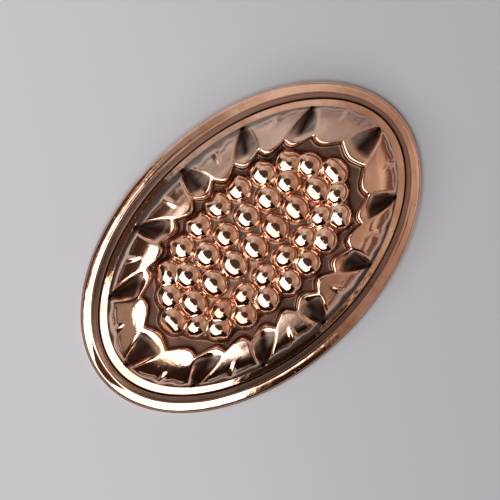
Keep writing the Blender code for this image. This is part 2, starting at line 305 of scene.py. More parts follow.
def copper_material(name, dullness, pitting):
    """Hand-polished copper: bright, faintly rippled, browner where the cloth doesn't reach and where
    shade is painted in.

    Small dark pits, a soft cloudy tarnish and, on some lobes, brushed strokes break up the mirror.
    """
    material, tree = new_material(name)
    place = add_node(tree, "ShaderNodeTexCoord").outputs["Object"]
    tarnish_and_shade = add_node(tree, "ShaderNodeAttribute", attribute_name="tarnish_and_shade").outputs["Fac"]
    cloud = add_node(tree, "ShaderNodeTexNoise", {"Vector": place, "Scale": 1 / TARNISH_CLOUD,
                                                  "Detail": 4.0, "Roughness": 0.6})
    cloudy = add_node(tree, "ShaderNodeMapRange", {"Value": cloud.outputs["Fac"], "From Min": 0.42,
                                                   "From Max": 0.68, "To Max": 0.9})
    clean = add_node(tree, "ShaderNodeMix", {0: cloudy.outputs["Result"], 6: srgb("F9CDB4"),
                                             7: srgb("DDA383")}, data_type="RGBA")
    # The tarnish browns double as painted shade: the point attribute that darkens here marks tarnish in
    # hollows and painted shade alike.
    tarnish_and_shade_tone = add_node(tree, "ShaderNodeMix", {0: cloudy.outputs["Result"], 6: srgb("4C3227"),
                                               7: srgb("8C6855")}, data_type="RGBA")
    deep = add_node(tree, "ShaderNodeMapRange", {"Value": tarnish_and_shade, "From Min": 0.80, "To Max": 0.95})
    darkened = add_node(tree, "ShaderNodeMix", {0: deep.outputs["Result"], 6: tarnish_and_shade_tone.outputs[2],
                                                7: srgb("3C2217")}, data_type="RGBA")
    patina_and_shade = add_node(tree, "ShaderNodeMix", {0: tarnish_and_shade, 6: clean.outputs[2], 7: darkened.outputs[2]},
                      data_type="RGBA")
    haze = add_node(tree, "ShaderNodeAttribute", attribute_name="haze").outputs["Fac"]
    brushing = add_node(tree, "ShaderNodeMapping", {
        "Vector": place, "Rotation": (0, 0, 0.9), "Scale": [1 / length for length in CLOTH_STROKES]})
    strokes = add_node(tree, "ShaderNodeTexNoise", {"Vector": brushing.outputs[0], "Scale": 1.0,
                                                    "Detail": 3.0})
    brushed_haze = add_node(tree, "ShaderNodeMath", {0: haze, 1: strokes.outputs["Fac"]},
                            operation="MULTIPLY").outputs[0]
    dulled = add_node(tree, "ShaderNodeMix", {0: brushed_haze, 6: patina_and_shade.outputs[2], 7: srgb("DCCDC6")},
                      data_type="RGBA")
    specks = add_node(tree, "ShaderNodeTexVoronoi", {"Vector": place, "Scale": 1 / PIT_SPACING})
    speck = add_node(tree, "ShaderNodeMapRange", {"Value": specks.outputs["Distance"], "From Min": 0.1,
                                                  "From Max": 0.2, "To Min": 1.0, "To Max": 0.0})
    where = add_node(tree, "ShaderNodeTexNoise", {"Vector": place, "Scale": 1 / PIT_PATCH, "Detail": 2.0})
    here = add_node(tree, "ShaderNodeMapRange", {"Value": where.outputs["Fac"], "From Min": 0.55,
                                                 "From Max": 0.66, "To Max": pitting})
    pit = add_node(tree, "ShaderNodeMath", {0: speck.outputs["Result"], 1: here.outputs["Result"]},
                   operation="MULTIPLY").outputs[0]
    colour = add_node(tree, "ShaderNodeMix", {0: pit, 6: dulled.outputs[2], 7: srgb("5A3526")},
                      data_type="RGBA")
    worn = add_node(tree, "ShaderNodeMath", {0: cloudy.outputs["Result"], 1: 0.10, 2: dullness},
                    operation="MULTIPLY_ADD").outputs[0]
    hidden = add_node(tree, "ShaderNodeMath", {0: tarnish_and_shade, 1: 0.38, 2: worn},
                      operation="MULTIPLY_ADD").outputs[0]
    hazy = add_node(tree, "ShaderNodeMath", {0: brushed_haze, 1: 0.55, 2: hidden},
                    operation="MULTIPLY_ADD").outputs[0]
    rough = add_node(tree, "ShaderNodeMath", {0: pit, 1: 0.35, 2: hazy},
                     operation="MULTIPLY_ADD").outputs[0]
    ripple = add_node(tree, "ShaderNodeTexNoise", {"Vector": place, "Scale": 1 / HAMMER_RIPPLE,
                                                   "Detail": 2.0, "Roughness": 0.4})
    marks = add_node(tree, "ShaderNodeTexNoise", {"Vector": place, "Scale": 1 / POLISHING_MARK,
                                                  "Detail": 3.0, "Roughness": 0.6})
    planished = add_node(tree, "ShaderNodeBump", {"Height": ripple.outputs["Fac"], "Distance": 0.00022,
                                                  "Strength": 0.5})
    brushed = add_node(tree, "ShaderNodeBump", {"Height": marks.outputs["Fac"], "Distance": 0.00001,
                                                "Strength": 0.6, "Normal": planished.outputs[0]})
    pitted = add_node(tree, "ShaderNodeBump", {"Height": pit, "Distance": 0.00008, "Strength": 0.8,
                                               "Normal": brushed.outputs[0]}, invert=True)
    surface = add_node(tree, "ShaderNodeBsdfPrincipled", {
        "Base Color": colour.outputs[2], "Metallic": 1.0, "Roughness": rough,
        "Normal": pitted.outputs[0]})
    add_node(tree, "ShaderNodeOutputMaterial", {"Surface": surface.outputs[0]})
    return material


def mark_tarnish_and_shade(mesh, depths):
    """Store how dark each point is painted, 0 to 1: tarnish out of the polishing cloth's reach, and
    painted shade.
    """
    layer = mesh.attributes.new("tarnish_and_shade", "FLOAT", "POINT")
    layer.data.foreach_set("value", np.clip(depths, 0, 1).astype(np.float32))


def mesh_points(mesh):
    """Point places of a mesh as an array."""
    places = np.empty(len(mesh.vertices) * 3)
    mesh.vertices.foreach_get("co", places)
    return places.reshape(-1, 3)


# The steep face is painted browner than the lip, as painted shade for the dark copper it mirrors, most of
# all on one side, where the turned edge gets a painted dark line for the shadowed table it mirrors.
# BRIGHT_SIDE points away from that side, in plan.
BRIGHT_SIDE = np.array([0.8, 0.6])
SIDES_FADE = 0.010
FACE_BROWN = 0.70
FACE_BROWN_MORE = 0.25
FACE_BROWN_FROM = 0.0056
FACE_BROWN_FADE = 0.0006
EDGE_LINE_HEIGHT = 0.0031
EDGE_LINE_WIDTH = 0.0009

band = band_mesh()
band_points = mesh_points(band)
band_heights = band_points[:, 2]
# Painted shade: stronger on the side away from BRIGHT_SIDE, with a painted dark line low on the turned
# edge.
shaded_side = 1 / (1 + np.exp(band_points[:, :2] @ BRIGHT_SIDE / SIDES_FADE))
edge_line = shaded_side * np.exp(-((band_heights - EDGE_LINE_HEIGHT) / EDGE_LINE_WIDTH) ** 2)
up_face = np.clip((band_heights - FACE_BROWN_FROM) / FACE_BROWN_FADE, 0, 1)
mark_tarnish_and_shade(band, edge_line + (FACE_BROWN + FACE_BROWN_MORE * shaded_side) * up_face)
add_piece("rolled_band", band, [copper_material("rolled_copper_sheet", 0.05, 0.9)],
          "base_band")


# Crown
# One stamped sheet of copper: a plain skirt lapped inside the band, a sloping collar, a wall of
# 12 arched lobes with petals between, a scalloped crest, and the grapes in their moat.
LAP = 0.0045
LAP_CLEARANCE = 0.0003
COLLAR_HEIGHT = 0.0150
COLLAR_END_EXTRA = 0.0012
CREST_HEIGHT = 0.032
CREST_INSET_END = 0.0281
CREST_INSET_SIDE = 0.0229
SCALLOP = 0.0034
MOAT_HEIGHT = CREST_HEIGHT - 0.0040
LOBES = 12
COLUMNS_PER_LOBE = 52
COLUMNS = LOBES * COLUMNS_PER_LOBE

angles = equal_angles(COLUMNS)
phases = (np.arange(COLUMNS) % COLUMNS_PER_LOBE) / COLUMNS_PER_LOBE
lobe_numbers = np.arange(COLUMNS) // COLUMNS_PER_LOBE
from_cusp = np.minimum(phases, 1 - phases)
collar_insets = COLLAR_INSET + COLLAR_END_EXTRA * np.cos(angles) ** 2
collar_line = oval_line(angles, collar_insets)
crest_line = np.stack([(HALF_LENGTH - CREST_INSET_END) * np.cos(angles),
                       (HALF_WIDTH - CREST_INSET_SIDE) * np.sin(angles)], axis=-1)
ways = crest_line - collar_line
way_lengths = np.linalg.norm(ways, axis=1)
inwards = ways / way_lengths[:, None]
scallops = SCALLOP * np.abs(np.cos(2 * math.pi * phases))
reaches = way_lengths + scallops


# The noise rarely comes near -1 or 1, so it is multiplied by this and cut off there.
CHANCE_SPREAD = 2.2


def lobe_chance(seed):
    """One steady chance value from -1 to 1 for each lobe, spread to its columns."""
    values = np.array([noise.noise(Vector((seed, number * 1.37, 0.5))) for number in range(LOBES)])
    return np.clip(values * CHANCE_SPREAD, -1, 1)[lobe_numbers]


def hump(distance, width):
    """Round hump of height 1."""
    return np.exp(-(distance / width) ** 2)


def smooth_step(value):
    """Smooth way from 0 to 1."""
    share = np.clip(value, 0, 1)
    return share * share * (3 - 2 * share)


# A lobe rises from its foot in a steep riser with a wavy top edge, and turns over a shoulder to its
# face. The waves are half waves along a lobe. Lobes count anticlockwise from the mould's +X end.
STEEP_REACH_END = 0.0010
STEEP_REACH_SIDE = 0.0030
STEEP_REACH_LEAST = 0.0004
SHOULDER_WIDTHS = (0.0012, 0.0012, 0.0015, 0.0010, 0.0020, 0.0023, 0.0014, 0.0007, 0.0007, 0.0030,
                   0.0026, 0.0015)
SHOULDER_ARCH = 0.7
EDGE_WAVE = 0.0006
SMALL_WAVE_SHARE = 0.45
STEADY_WAVE_SHARE = 0.25
LONG_WAVES = 5.3
SMALL_WAVES = 9.5

shoulders = np.array(SHOULDER_WIDTHS)[lobe_numbers] * np.sin(math.pi * phases) ** SHOULDER_ARCH
waviness = STEADY_WAVE_SHARE + (1 - STEADY_WAVE_SHARE) * np.abs(lobe_chance(8.8))
waviness = np.sin(math.pi * phases) * waviness
waves = np.sin((LONG_WAVES + lobe_chance(1.9)) * math.pi * phases + 2 * lobe_chance(5.2))
small_waves = np.sin((SMALL_WAVES + 2 * lobe_chance(3.3)) * math.pi * phases + 3)
waves += SMALL_WAVE_SHARE * small_waves
side_share = np.sin(angles) ** 2
steep_reaches = STEEP_REACH_END + (STEEP_REACH_SIDE - STEEP_REACH_END) * side_share
steep_reaches = np.maximum(steep_reaches + EDGE_WAVE * waviness * waves, STEEP_REACH_LEAST)

# From here on, widths along the rim are shares of a lobe, and lengths up the wall are metres.
CREASE_DEPTH = 0.00028
CREASE_WIDTH = 0.00045
CREASE_ABOVE_SHOULDER = 0.0004
CREASE_FROM_RIB = 0.05
CREASE_FADE_IN = 0.03
CREASE_TO_SIDE = 0.27
CREASE_FADE_OUT = 0.08


def crease(travel):
    """The stamp's faint line above the shoulder, on both sides of the rib, 0 to 1."""
    from_rib = np.abs(phases - 0.5)
    beside_rib = smooth_step((from_rib - CREASE_FROM_RIB) / CREASE_FADE_IN)
    beside_rib *= 1 - smooth_step((from_rib - CREASE_TO_SIDE) / CREASE_FADE_OUT)
    past_shoulder = travel - steep_reaches - shoulders
    return beside_rib * hump(past_shoulder - CREASE_ABOVE_SHOULDER, CREASE_WIDTH)


# The faces of the lobes are steeper at the foot than at the crest, with a rib up the middle. Between
# them the petals lie lower, as valleys that widen upwards, each with a dimple at its foot.
WALL_RISE = CREST_HEIGHT - COLLAR_HEIGHT
CREST_SLOPES = (0.30, 0.27, 0.26, 0.24, 0.26, 0.38, 0.36, 0.26, 0.24, 0.33, 0.30, 0.26)
FOOT_SLOPE = 0.88
FOOT_SLOPE_CHANCE = 0.05
FACE_CURVE = 1.5
SHOULDER_STEEPENING = 1.1
RISER_BULGE = 0.35
LOBE_BELLY = 0.06
PETAL_DROP = 0.0014
PETAL_CURVE = 1.4
VALLEY_FOOT = 0.06
VALLEY_CREST = 0.31
VALLEY_SIDE = 0.10
RIB_HEIGHT = 0.0011
RIB_HEIGHT_CHANCE = 0.3
RIB_WIDTH = 0.036
RIB_FOOT = 0.0006
RIB_FADE_FROM = 0.0020
RIB_FADE = 0.0055
DIMPLE_DEPTH = 0.0015
DIMPLE_UP = 0.0008
DIMPLE_LENGTH = 0.0012
DIMPLE_WIDTH = 0.03


def wall_ring(share):
    """Ring of the lobed wall at a share of the way from the collar to the crest."""
    travel = share * reaches
    up_riser = np.clip(travel / steep_reaches, 0, 1)
    full_reach = way_lengths + SCALLOP
    inward_left = full_reach - travel
    crest_slope = np.array(CREST_SLOPES)[lobe_numbers]
    steepening = FOOT_SLOPE * (1 + FOOT_SLOPE_CHANCE * lobe_chance(6.1)) - crest_slope
    fall = crest_slope * inward_left
    fall += steepening * full_reach * (inward_left / full_reach) ** (FACE_CURVE + 1) / (FACE_CURVE + 1)
    down_shoulder = np.clip(steep_reaches + shoulders - travel, 0, shoulders)
    fall += SHOULDER_STEEPENING * down_shoulder ** 2 / np.maximum(2 * shoulders, 1e-6)
    lobe = (WALL_RISE - fall) * up_riser * (1 + RISER_BULGE - RISER_BULGE * up_riser)
    petal = (WALL_RISE - PETAL_DROP) * (1 - (1 - share) ** PETAL_CURVE)
    edge = VALLEY_FOOT + (VALLEY_CREST - VALLEY_FOOT) * share
    side = min(VALLEY_SIDE, edge)
    swell = smooth_step((from_cusp - edge + side) / side)
    swell = swell * (1 - LOBE_BELLY * (2 * phases - 1) ** 2 * (1 - share))
    height = petal + swell * (lobe - petal)
    rib = RIB_HEIGHT * (1 + RIB_HEIGHT_CHANCE * lobe_chance(9.4)) * hump(phases - 0.5, RIB_WIDTH)
    rib_left = 1 - smooth_step((travel - steep_reaches - RIB_FADE_FROM) / RIB_FADE)
    height += rib * rib_left * smooth_step(travel / RIB_FOOT)
    height -= CREASE_DEPTH * crease(travel)
    height -= DIMPLE_DEPTH * hump(from_cusp, DIMPLE_WIDTH) * hump(travel - DIMPLE_UP, DIMPLE_LENGTH)
    plan = collar_line + inwards * travel[:, None]
    return np.column_stack((plan, COLLAR_HEIGHT + height))


# Painted shade darkens the valleys' floors, up to near the crest, and the riser's foot, where shade and
# dark reflections fall.
VALLEY_SHADE_INSET = 0.03
VALLEY_SHADE_FADE = 0.04
VALLEY_SHADE_UP_TO = 0.74
VALLEY_SHADE_END_FADE = 0.15
RISER_SHADE_FROM = 0.7
RISER_SHADE_FADE = 0.5


def wall_painted_shade(share):
    """How much painted shade each column gets at that share: the valleys' floors, the riser's foot and
    the crease.
    """
    travel = share * reaches
    edge = VALLEY_FOOT + (VALLEY_CREST - VALLEY_FOOT) * share
    valley = smooth_step((edge - VALLEY_SHADE_INSET - from_cusp) / VALLEY_SHADE_FADE)
    valley *= 1 - smooth_step((share - VALLEY_SHADE_UP_TO) / VALLEY_SHADE_END_FADE)
    up_riser = travel - RISER_SHADE_FROM * steep_reaches
    riser = 1 - smooth_step(up_riser / (RISER_SHADE_FADE * steep_reaches))
    return np.maximum(np.maximum(valley, riser), crease(travel))


# Some lobes are brushed dull all over and some only on their inner half.
LOBE_HAZES = (1.0, 0.9, 0.7, 0.25, 0.1, 0.1, 0.0, 0.1, 0.1, 0.1, 0.15, 0.2)
INNER_HAZES = (1.0, 0.9, 0.7, 0.0, 0.0, 0.0, 0.1, 0.45, 0.7, 0.2, 0.1, 0.1)
INNER_HAZE_FROM = 0.4
INNER_HAZE_FADE = 0.2
HAZE_FROM_CUSP = 0.12


def wall_haze(share):
    """How hazy each lobe's face is at that share of the way, from 0, a mirror, to 1, brushed dull."""
    on_face = smooth_step(from_cusp / HAZE_FROM_CUSP)
    all_over = np.array(LOBE_HAZES)[lobe_numbers] * on_face
    inner_half = smooth_step((share - INNER_HAZE_FROM) / INNER_HAZE_FADE)
    inner_only = np.array(INNER_HAZES)[lobe_numbers] * inner_half
    return np.maximum(all_over, inner_only * on_face)


def past_crest_ring(travel, drop):
    """Ring on the moat's side of the crest, with the same scallops, so far below the crest."""
    crest = wall_ring(1.0)
    plan = crest_line + inwards * (travel + scallops)[:, None]
    return np.column_stack((plan, crest[:, 2] - drop))


def skirt_ring(inset, height):
    """Plain ring at an inset from the rim, the same all round or one for each column."""
    return np.column_stack((oval_line(angles, inset), np.full(COLUMNS, height)))


FLARE_HEIGHT = 0.0066


def band_inside_inset(height):
    """Inset of the band's inner face at a height above the flare."""
    share = (height - FLARE_HEIGHT) / (BAND_HEIGHT - FLARE_HEIGHT)
    return FLARE_INSET + SHEET + share * (BAND_TOP_INSET - FLARE_INSET)


COLLAR_ROUNDING = 0.0005
COLLAR_ABOVE_BAND = 0.4 * COLLAR_ROUNDING
CREST_ROLL = 0.0013
CREST_ROLL_END = 0.2
CREST_ROLL_RINGS = 5
# The crest's moat side and the moat are painted darker, as tarnish the cloth misses there and as painted
# shade in one.
CREST_RECESS = 0.15
MOAT_FILLET = 0.0010
MOAT_FILLET_RINGS = 4
MOAT_WALL_LEAN = 0.0004
MOAT_WALL_RECESS = 0.7
MOAT_RECESS = 0.9
# The skirt, tucked inside the band, is painted dark as shade between the parts.
SKIRT_TOP_RECESS = 0.8
SKIRT_END_RECESS = 1.0
# The wall's rings lie closer together over the riser than over the face.
WALL_SHARES = (*np.linspace(1, 0.26, 14), *np.linspace(0.22, 0, 12))
COLLAR_SHARES = (0.08, 0.16, 0.5, 0.92, 1.0)
# The collar is painted a little darker at its two corners, as painted shade where it meets the wall and
# the band.
COLLAR_RECESSES = (0.4, 0.1, 0.0, 0.0, 0.2)


def collar_ring(share):
    """Ring on the sloping collar, from the wall's foot at 0 to the band's edge at 1."""
    outer = band_inside_inset(BAND_HEIGHT) + LAP_CLEARANCE + COLLAR_ROUNDING
    rise = COLLAR_HEIGHT - BAND_HEIGHT - COLLAR_ABOVE_BAND
    return skirt_ring(collar_insets + share * (outer - collar_insets), COLLAR_HEIGHT - share * rise)


def crown_rings():
    """Rings of the crown from the moat's floor to the skirt, with their painted tarnish and shade and
    their haze.
    """
    rings = []
    for turn in np.linspace(0, math.pi / 2, MOAT_FILLET_RINGS):
        ring = past_crest_ring(CREST_ROLL + MOAT_WALL_LEAN + MOAT_FILLET * (1 - math.sin(turn)), 0.0)
        ring[:, 2] = MOAT_HEIGHT + MOAT_FILLET * (1 - math.cos(turn))
        rings.append((ring, MOAT_RECESS))
    halfway = past_crest_ring(CREST_ROLL + MOAT_WALL_LEAN / 2, 0.0)
    halfway[:, 2] = (halfway[:, 2] + MOAT_HEIGHT) / 2
    rings.append((halfway, MOAT_WALL_RECESS))
    for turn in np.linspace(math.pi / 2, CREST_ROLL_END, CREST_ROLL_RINGS):
        ring = past_crest_ring(CREST_ROLL * math.sin(turn), CREST_ROLL * (1 - math.cos(turn)))
        rings.append((ring, CREST_RECESS * math.sin(turn)))
    for share in WALL_SHARES:
        rings.append((wall_ring(share), wall_painted_shade(share), wall_haze(share)))
    rings += [(collar_ring(share), tarnish_and_shade) for share, tarnish_and_shade in zip(COLLAR_SHARES, COLLAR_RECESSES)]
    skirt_top = band_inside_inset(BAND_HEIGHT) + LAP_CLEARANCE
    rings.append((skirt_ring(skirt_top, BAND_HEIGHT - COLLAR_ROUNDING), SKIRT_TOP_RECESS))
    skirt_end = band_inside_inset(BAND_HEIGHT - LAP) + LAP_CLEARANCE
    rings.append((skirt_ring(skirt_end, BAND_HEIGHT - LAP), SKIRT_END_RECESS))
    return [(ring, np.broadcast_to(tarnish_and_shade, COLUMNS), haze[0] if haze else np.zeros(COLUMNS))
            for ring, tarnish_and_shade, *haze in rings]


# The grapes: rows of 7, 8, 9, 8 and 7 round studs that run into each other, the middle row highest.
# A row gives its count, its place across, the half length of its bend, and its squash across.
GRAPE_ROWS = ((7, 0.0218, 0.047, 1.0), (8, 0.0108, 0.065, 0.96), (9, 0.0, 1.0, 1.06),
              (8, -0.0116, 0.051, 0.82), (7, -0.0197, 0.049, 1.0))
GRAPE_PITCH = 0.0111
GRAPE_RADIUS = 0.0054
GRAPE_CURVE = 0.0072
GRAPE_CAP_END = 0.97
GRAPE_EDGE_SLOPE = 3.5
CLUSTER_HALF_LENGTH = 0.051
CLUSTER_HALF_WIDTH = 0.0261
GRAPE_TOP = 0.0060
CLUSTER_DOME = 0.0030
GRAPE_GROOVE = 0.0037
GRAPE_FILLET = 0.0010
GRAPE_CLEAN_DEPTH = 0.0025
GRAPE_CLEAN_FADE = 0.0011
CLUSTER_REACH = 0.0060
CLUSTER_EDGE = 0.42
CLUSTER_EDGE_FADE = 0.4
GRAPE_SHIFT = 0.0003
GRAPE_TILT = 0.07
GRAPE_SINK = 0.0001
APEX_DENT = 0.00020
APEX_DENT_BIAS = 0.2
APEX_SPREAD = 0.0022
GROOVE_RECESS = 0.8
GROOVES_WITHIN = 0.05
MOAT_SHADE_ABOVE = 0.0004
MOAT_SHADE_FADE = 0.0016


def chance(number, seed):
    """One steady chance value from -1 to 1 for a grape's number."""
    return float(np.clip(noise.noise(Vector((number * 0.731, seed, 0.37))) * CHANCE_SPREAD, -1, 1))


def grape_table():
    """For every grape: centre x and y, top height, and squash across."""
    grapes = []
    for count, across, bend, squash in GRAPE_ROWS:
        for place in range(count):
            number = len(grapes)
            x = (place - (count - 1) / 2) * GRAPE_PITCH + GRAPE_SHIFT * chance(number, 1.3)
            y = across * math.sqrt(max(0.0, 1 - (x / bend) ** 2)) + GRAPE_SHIFT * chance(number, 2.6)
            dome = 1 - (x / CLUSTER_HALF_LENGTH) ** 2 - (y / CLUSTER_HALF_WIDTH) ** 2
            grapes.append((x, y, MOAT_HEIGHT + GRAPE_TOP + CLUSTER_DOME * max(0.0, dome), squash))
    return grapes


def soft_max(first, second, blend):
    """Larger of two heights, with a fillet where they meet."""
    share = np.clip(0.5 + 0.5 * (first - second) / blend, 0, 1)
    return second + (first - second) * share + blend * share * (1 - share) * 0.5


def grape_cap(number, grape, plan):
    """Height of one grape's round cap over the plan, a little tilted and dented as it was struck."""
    x, y, top, squash = grape
    east, north = plan[:, 0] - x, (plan[:, 1] - y) / squash
    away = np.hypot(east, north)
    past = np.clip(away - GRAPE_RADIUS, 0, None)
    on_cap = np.minimum(away, GRAPE_CAP_END * GRAPE_CURVE)
    cap = np.sqrt(GRAPE_CURVE ** 2 - on_cap ** 2) - GRAPE_CURVE
    lean = GRAPE_TILT * (chance(number, 4.1) * east + chance(number, 5.9) * north)
    dent = APEX_DENT * (chance(number, 7.7) - APEX_DENT_BIAS) * hump(away, APEX_SPREAD)
    uneven = (lean + dent) * (away < 2 * GRAPE_RADIUS)
    return away, top - GRAPE_SINK + cap - GRAPE_EDGE_SLOPE * past + uneven


def field_height(plan):
    """Height of the moat's floor with the grapes raised on it, and how dark each point is painted:
    tarnish in the grooves and the moat, with painted shade there too.
    """
    grapes = grape_table()
    ways = [np.hypot(plan[:, 0] - grape[0], plan[:, 1] - grape[1]) for grape in grapes]
    crowding = sum(hump(away, CLUSTER_REACH) for away in ways)
    tops = sum(hump(away, CLUSTER_REACH) * grape[2] for away, grape in zip(ways, grapes))
    tops = tops / np.maximum(crowding, 1e-6)
    inside = smooth_step((crowding - CLUSTER_EDGE) / CLUSTER_EDGE_FADE)
    height = MOAT_HEIGHT + (tops - GRAPE_GROOVE - MOAT_HEIGHT) * inside
    for number, grape in enumerate(grapes):
        away, cap = grape_cap(number, grape, plan)
        height = np.where(away < 2 * GRAPE_RADIUS, soft_max(cap, height, GRAPE_FILLET), height)
    in_groove = smooth_step((tops - height - GRAPE_CLEAN_DEPTH) / GRAPE_CLEAN_FADE)
    in_groove = in_groove * (crowding > GROOVES_WITHIN)
    in_moat = 1 - smooth_step((height - MOAT_HEIGHT - MOAT_SHADE_ABOVE) / MOAT_SHADE_FADE)
    return height, np.maximum(GROOVE_RECESS * in_groove, MOAT_RECESS * in_moat)


FIELD_ROWS = 108
FIELD_COLUMNS = COLUMNS // 2 - FIELD_ROWS
# Towards the middle the scallops are half smoothed away, at this power of the way out. The relief
# fades to the moat's floor at its edge, at the next power of that.
PLAINER = 0.5
SCALLOP_FADE = 6
RELIEF_FADE = 4
DENT_SPACINGS = (0.009, 0.004)
DENT_DEPTHS = (0.00008, 0.00002)
DENTS_ABOVE = COLLAR_HEIGHT + 0.001


def crown_mesh():
    """Grid of the moat and grapes, laid into the oval, with the wall extruded round its edge."""
    rings = crown_rings()
    bm = bmesh.new()
    column = bm.verts.layers.int.new("column")
    tarnish_and_shade = bm.verts.layers.float.new("tarnish_and_shade")
    haze = bm.verts.layers.float.new("haze")
    grid = bmesh.ops.create_grid(bm, x_segments=FIELD_COLUMNS, y_segments=FIELD_ROWS, size=1.0)["verts"]
    flat = np.array([vert.co[:2] for vert in grid])
    reach = np.abs(flat).max(axis=1)
    on_edge = flat / np.maximum(reach, 1e-6)[:, None]
    right_or_left = np.abs(flat[:, 0]) >= np.abs(flat[:, 1])
    side_way = on_edge[:, 1] * FIELD_ROWS / 2
    end_way = on_edge[:, 0] * FIELD_COLUMNS / 2
    half = COLUMNS / 2
    quarter = COLUMNS / 4
    around = np.where(right_or_left,
                      np.where(flat[:, 0] > 0, side_way, half - side_way),
                      np.where(flat[:, 1] > 0, quarter - end_way, 3 * quarter + end_way)) % COLUMNS
    edge_line = rings[0][0][:, :2]
    plain_line = edge_line - inwards * scallops[:, None] * PLAINER
    wrapped = np.arange(COLUMNS + 1) % COLUMNS
    here = np.arange(COLUMNS + 1)
    scalloped = np.column_stack([np.interp(around, here, edge_line[wrapped, axis]) for axis in (0, 1)])
    plain = np.column_stack([np.interp(around, here, plain_line[wrapped, axis]) for axis in (0, 1)])
    share = (reach ** SCALLOP_FADE)[:, None]
    plan = reach[:, None] * (plain * (1 - share) + scalloped * share)
    heights, hidden = field_height(plan)
    at_edge = share[:, 0] ** RELIEF_FADE
    heights = heights * (1 - at_edge) + MOAT_HEIGHT * at_edge
    columns = np.rint(around).astype(int) % COLUMNS
    for vert, place, height, depth, index in zip(grid, plan, heights, hidden, columns):
        vert.co = (*place, height)
        vert[column] = int(index)
        vert[tarnish_and_shade] = depth
    loop = [edge for edge in bm.edges if edge.is_boundary]
    for ring, depths, hazes in rings[1:]:
        made = bmesh.ops.extrude_edge_only(bm, edges=loop)["geom"]
        new_verts = {item for item in made if isinstance(item, bmesh.types.BMVert)}
        for vert in new_verts:
            vert.co = ring[vert[column]]
            vert[tarnish_and_shade] = depths[vert[column]]
            vert[haze] = hazes[vert[column]]
        loop = [item for item in made if isinstance(item, bmesh.types.BMEdge)
                and item.verts[0] in new_verts and item.verts[1] in new_verts]
    for vert in bm.verts:
        if vert.co.z > DENTS_ABOVE:
            vert.co.z += sum(noise.noise(vert.co / spacing) * depth
                             for spacing, depth in zip(DENT_SPACINGS, DENT_DEPTHS))
    bmesh.ops.recalc_face_normals(bm, faces=bm.faces)
    if max(bm.faces, key=lambda face: face.calc_center_median().z).normal.z < 0:
        bmesh.ops.reverse_faces(bm, faces=bm.faces)
    return finished_mesh("stamped_crown", bm, math.radians(75))


WIPING_STREAK = 0.012


def tin_material():
    """Tin wiped over the inside while hot: pale grey, soft shine, with the wiping's streaks."""
    material, tree = new_material("wiped_tin")
    place = add_node(tree, "ShaderNodeTexCoord").outputs["Object"]
    turned = add_node(tree, "ShaderNodeMapping", {"Vector": place, "Rotation": (0, 0, 0.6),
                                                  "Scale": (1.0, 4.0, 1.0)})
    streaks = add_node(tree, "ShaderNodeTexNoise", {"Vector": turned.outputs[0],
                                                    "Scale": 1 / WIPING_STREAK, "Detail": 6.0})
    spread = add_node(tree, "ShaderNodeMapRange", {"Value": streaks.outputs["Fac"], "From Min": 0.35,
                                                   "From Max": 0.7})
    colour = add_node(tree, "ShaderNodeMix", {0: spread.outputs["Result"], 6: srgb("CFCDC8"),
                                              7: srgb("9C9A96")}, data_type="RGBA")
    rough = add_node(tree, "ShaderNodeMapRange", {"Value": spread.outputs["Result"], "To Min": 0.28,
                                                  "To Max": 0.48})
    relief = add_node(tree, "ShaderNodeBump", {"Height": streaks.outputs["Fac"], "Distance": 0.00006,
                                               "Strength": 0.7})
    surface = add_node(tree, "ShaderNodeBsdfPrincipled", {
        "Base Color": colour.outputs[2], "Metallic": 1.0, "Roughness": rough.outputs["Result"],
        "Normal": relief.outputs[0]})
    add_node(tree, "ShaderNodeOutputMaterial", {"Surface": surface.outputs[0]})
    return material


crown_piece = add_piece("stamped_crown", crown_mesh(),
                        [copper_material("polished_copper_sheet", 0.045, 0.5), tin_material()],
                        "mould_crown")
thickness = crown_piece.modifiers.new("sheet", "SOLIDIFY")
thickness.thickness = SHEET
thickness.offset = -1.0
thickness.material_offset = 1


# Solder
# Soft tin solder run by hand into the corner below the skirt, inside the mould. It wets both
# sheets, so its face is slightly hollow, and the bead swells and thins along the seam.
SOLDER_LEG = 0.0016
SOLDER_WAVER = 0.00022
SOLDER_HOLLOW = 0.35
SOLDER_ROWS = 7
FROST_GRAIN = 0.0025


def solder_mesh():
    """Bead lofted round the inside, with a hollow face."""
    angles = equal_angles(BAND_COLUMNS)
    top = BAND_HEIGHT - LAP - LAP_CLEARANCE
    corner = band_inside_inset(top) + LAP_CLEARANCE
    legs = SOLDER_LEG - SOLDER_WAVER + slow_waver(angles * 3, SOLDER_WAVER, 2.2)
    rings = [np.column_stack((oval_line(angles, np.full(BAND_COLUMNS, corner)),
                              np.full(BAND_COLUMNS, top)))]
    for share in np.linspace(0, 1, SOLDER_ROWS):
        hollow = 1 - SOLDER_HOLLOW * math.sin(math.pi * share)
        inset = corner + legs * (1 - share) * hollow
        height = top - legs * share * hollow
        lean = band_inside_inset(height) + LAP_CLEARANCE - corner
        rings.append(np.column_stack((oval_line(angles, inset + lean * share), height)))
    bm = bmesh.new()
    first_loop, last_loop = loft(bm, rings)
    bmesh.ops.bridge_loops(bm, edges=first_loop + last_loop)
    bmesh.ops.recalc_face_normals(bm, faces=bm.faces)
    return finished_mesh("solder_bead", bm, math.radians(40))


